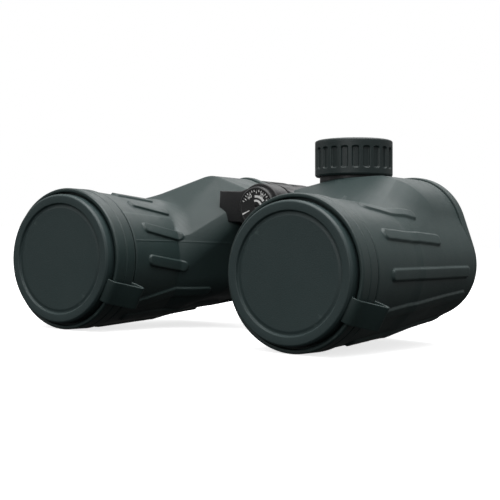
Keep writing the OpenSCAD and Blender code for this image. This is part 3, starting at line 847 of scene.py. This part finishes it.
def compass_neck():
    """Collar of the tower with a turned step under the ribbed cap."""
    profile = filleted([
        (15.2, -8, 0), (16.2, -8, 0), (16.2, -1.4, 0.2), (15.9, -1.1, 0.1), (15.9, -0.6, 0.1),
        (16.2, -0.3, 0.1), (16.2, 6, 0),
        (15.2, 6, 0),
    ])
    points, faces = tower_lathe([tuple(p) for p in profile], 160)
    return mesh_object("compass_neck_collar", points, faces, BLACK_PLASTIC, "left_body")


def hinge_dial():
    profile = filleted([
        (0.01, 67.55, 0), (8.3, 67.5, 0.2), (8.6, 67.4, 0.1), (9.3, 67.4, 0.3), (10, 68.1, 0.5),
        (10, 70.4, 0.2), (4.1, 70.4, 0),
        (4.1, 69.5, 0), (0.01, 69.5, 0),
    ])
    points, faces = lathe(profile, 0, HINGE_Z, 160)
    return mesh_object("hinge_dial_face", points, faces, BLACK_PLASTIC, "right_body",
                       ("hinge_dial",))


def arc_mark(r0, r1, a0, a1, y0=67.42, thick=0.09):
    """A printed arc on the dial, between two radii and two angles."""
    steps = max(2, int(abs(a1 - a0) / 4))
    rows = []
    for a in np.radians(np.linspace(a0, a1, steps + 1)):
        c, s = math.cos(a), math.sin(a)
        rows.append(np.array([[r * c, y, HINGE_Z + r * s] for r, y in
                              ((r0, y0 + thick), (r0, y0), (r1, y0), (r1, y0 + thick))]))
    return closed_rows(rows)


def dial_marks():
    """Eye spacing scale: ticks, two range arcs and a long index bar."""
    marks = [arc_mark(7.4, 8.4, a - 1.4, a + 1.4) for a in range(20, 161, 10)]
    marks += [arc_mark(6.6, 8.4, a - 1.8, a + 1.8) for a in (30, 60, 90, 120, 150)]
    marks += [arc_mark(4.6, 5.7, 35, 100), arc_mark(2.6, 3.6, 20, 110)]
    marks += [arc_mark(4.0, 8.4, 203, 208)]
    points, faces = merge(*marks)
    return mesh_object("hinge_dial_scale", points, faces, WHITE_INK, "right_body",
                       smooth=False)


def dial_number(text, angle, radius, size, name):
    """A number of the eye spacing scale, upright on the dial."""
    curve = bpy.data.curves.new(name, "FONT")
    curve.body, curve.size = text, size * MM
    curve.extrude = 0.03 * MM
    curve.align_x, curve.align_y = "CENTER", "CENTER"
    obj = collection_link(bpy.data.objects.new(name, curve))
    a = math.radians(angle)
    spot = to_row([[radius * math.cos(a), 67.46, HINGE_Z + radius * math.sin(a)]])[0]
    turn = Matrix.Rotation(-(a - math.pi / 2), 4, "Y") @ Matrix.Rotation(math.pi / 2, 4, "X")
    obj.matrix_world = Matrix.Translation(Vector(spot)) @ turn
    bpy.context.view_layer.update()
    mesh = bpy.data.meshes.new_from_object(obj)
    mesh.transform(obj.matrix_world)
    bpy.data.objects.remove(obj)
    mesh.materials.clear()
    mesh.materials.append(WHITE_INK)
    made = collection_link(bpy.data.objects.new(name, mesh))
    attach(made, "right_body")
    return made


def knuckle(side, y0, y1, body, name):
    """Hinge knuckle and its arm, as one casting with rounded edges."""
    r, half = 11.62, 7.62
    reach = 24.0
    start = math.asin(half / r)
    turns = np.linspace(start + 0.18, 2 * math.pi - start - 0.18, 60)
    arc = [(r * math.cos(a), r * math.sin(a)) for a in turns]
    flank = [(x, -half) for x in np.linspace(r * math.cos(start) + 2.4, reach, 6)]
    outline = arc + flank + [(x, -z) for x, z in flank[::-1]]
    outline = np.array(outline)

    def inset(amount):
        ahead, behind = np.roll(outline, -1, 0), np.roll(outline, 1, 0)
        tangent = ahead - behind
        tangent /= np.linalg.norm(tangent, axis=1)[:, None]
        return outline + amount * np.stack([-tangent[:, 1], tangent[:, 0]], 1)

    bevel = 0.7
    bends = [math.radians(t) for t in (0, 22, 45, 67, 90)]
    edge = [(bevel * (1 - math.cos(a)), bevel * (1 - math.sin(a))) for a in bends]
    far_edge = [(bevel * (1 - math.sin(a)), bevel * (1 - math.cos(a))) for a in bends]
    rows = []
    for y, drop in [(y0 + a, d) for a, d in edge] + [(y1 - a, d) for a, d in far_edge]:
        flat = inset(drop)
        rows.append(np.stack([flat[:, 0], np.full(len(flat), y), flat[:, 1] + HINGE_Z], 1))
    points, faces = mirrored(*closed_rows(rows), side)
    obj = mesh_object(name, points, faces, CAST, body)
    flat_shade_sharp(obj, 50)
    return obj


for side, label in ((1, "left"), (-1, "right")):
    main = label + "_body"
    armour(side, main, label + "_armour_shell")
    make_cover(side, main, label + "_rear_cover")
    strap_lug(side, main, label + "_strap_lug")
    guard_ring(side, main, label + "_guard_ring")
    objective_cap(side, label + "_cap", label + "_objective_cap")
    cap_strap(side, main, label + "_cap_strap")
    focus_ring(side, label + "_focus", label + "_focus_ring")
    eyecup(side, label + "_ocular", label + "_eyecup")

chassis_core(-1, "right_body", "right_chassis")
chassis_nose(-1, "right_body", "right_chassis_nose")
compass_cap()
compass_neck()
lamp_button()
hinge_dial()
dial_marks()
dial_number("70", 62, 6.2, 2.6, "dial_number_70")
dial_number("60", 128, 6.2, 2.6, "dial_number_60")
knuckle(-1, 70.38, 82.1, "right_body", "hinge_knuckle_front")
knuckle(1, 83.4, 101.8, "left_body", "hinge_knuckle_middle")
knuckle(-1, 101.9, 109.7, "right_body", "hinge_knuckle_rear")

# ---------------------------------------------------------------------------------------------
# Floor, light and camera
# ---------------------------------------------------------------------------------------------
floor_mesh = bpy.data.meshes.new("floor")
FLOOR = 6.0
corners = [(-FLOOR, -FLOOR, 0), (FLOOR, -FLOOR, 0), (FLOOR, FLOOR, 0), (-FLOOR, FLOOR, 0)]
floor_mesh.from_pydata(corners, [], [(0, 1, 2, 3)])
floor = collection_link(bpy.data.objects.new("floor", floor_mesh))
paper = bpy.data.materials.new("floor_paper")
paper.use_nodes = True
paper_shader = paper.node_tree.nodes["Principled BSDF"]
paper_shader.inputs["Base Color"].default_value = (0.93, 0.93, 0.93, 1)
paper_shader.inputs["Roughness"].default_value = 0.9
paper_shader.inputs["Specular IOR Level"].default_value = 0.1
paper_shader.inputs["Emission Color"].default_value = (1, 1, 1, 1)
paper_shader.inputs["Emission Strength"].default_value = 0.75
floor_mesh.materials.append(paper)
floor.visible_diffuse = False
floor.visible_glossy = False

world = bpy.data.worlds.new("studio")
bpy.context.scene.world = world
world.use_nodes = True
tree = world.node_tree
tree.nodes.clear()
out = tree.nodes.new("ShaderNodeOutputWorld")
seen = tree.nodes.new("ShaderNodeBackground")
seen.inputs["Color"].default_value = (1, 1, 1, 1)
seen.inputs["Strength"].default_value = 1.0
fill = tree.nodes.new("ShaderNodeBackground")
fill.inputs["Strength"].default_value = 0.8
direction = tree.nodes.new("ShaderNodeTexCoord")
height = tree.nodes.new("ShaderNodeSeparateXYZ")
tree.links.new(direction.outputs["Generated"], height.inputs[0])
sky = tree.nodes.new("ShaderNodeValToRGB")
for place, level in ((0.0, 0.015), (0.35, 0.05), (0.60, 0.38), (1.0, 1.0)):
    stop = sky.color_ramp.elements[0] if place == 0.0 else sky.color_ramp.elements.new(place)
    stop.color = (level, level, level, 1)
remap = tree.nodes.new("ShaderNodeMapRange")
remap.inputs["From Min"].default_value = -1.0
tree.links.new(height.outputs["Z"], remap.inputs["Value"])
tree.links.new(remap.outputs["Result"], sky.inputs["Fac"])
tree.links.new(sky.outputs["Color"], fill.inputs["Color"])
path = tree.nodes.new("ShaderNodeLightPath")
mix = tree.nodes.new("ShaderNodeMixShader")
tree.links.new(path.outputs["Is Camera Ray"], mix.inputs["Fac"])
tree.links.new(fill.outputs["Background"], mix.inputs[1])
tree.links.new(seen.outputs["Background"], mix.inputs[2])
tree.links.new(mix.outputs["Shader"], out.inputs["Surface"])


def softbox(name, where, aim, width, height, watts):
    data = bpy.data.lights.new(name, "AREA")
    data.shape, data.size, data.size_y, data.energy = "RECTANGLE", width, height, watts
    obj = collection_link(bpy.data.objects.new(name, data))
    obj.location = where
    obj.rotation_mode = "QUATERNION"
    obj.rotation_quaternion = (Vector(aim) - Vector(where)).to_track_quat("-Z", "Y")
    return obj


softbox("softbox_top", (0.15, -0.1, 0.95), (0, 0, 0), 0.9, 0.9, 11)
softbox("softbox_front", (0.25, -1.3, 0.55), (0, 0, 0.04), 0.9, 0.7, 3.1)
softbox("softbox_back", (-0.35, 0.95, 0.85), (0, 0, 0.04), 0.9, 0.5, 2.5)
softbox("softbox_left", (-1.1, -0.4, 0.5), (0, 0, 0.04), 0.6, 0.6, 0.8)

AZ, EL, ROLL = 0.6083314623744032, 0.015758268780224245, 0.041714997006921786
camera_data = bpy.data.cameras.new("camera")
camera_data.lens, camera_data.sensor_width = 88.88, 36.0
camera_data.clip_start, camera_data.clip_end = 0.01, 50
camera = collection_link(bpy.data.objects.new("camera", camera_data))
backward = Vector((math.sin(AZ) * math.cos(EL), -math.cos(AZ) * math.cos(EL), math.sin(EL)))
level = (-backward).cross(Vector((0, 0, 1))).normalized()
upward = level.cross(-backward)
cam_x = level * math.cos(ROLL) + upward * math.sin(ROLL)
cam_y = upward * math.cos(ROLL) - level * math.sin(ROLL)
pose = Matrix((cam_x, cam_y, backward)).transposed().to_4x4()
pose.translation = Vector(to_row([[336.215, -418.638, 16.717]])[0])
camera.matrix_world = pose
bpy.context.scene.camera = camera
bpy.context.scene.view_settings.view_transform = "Standard"
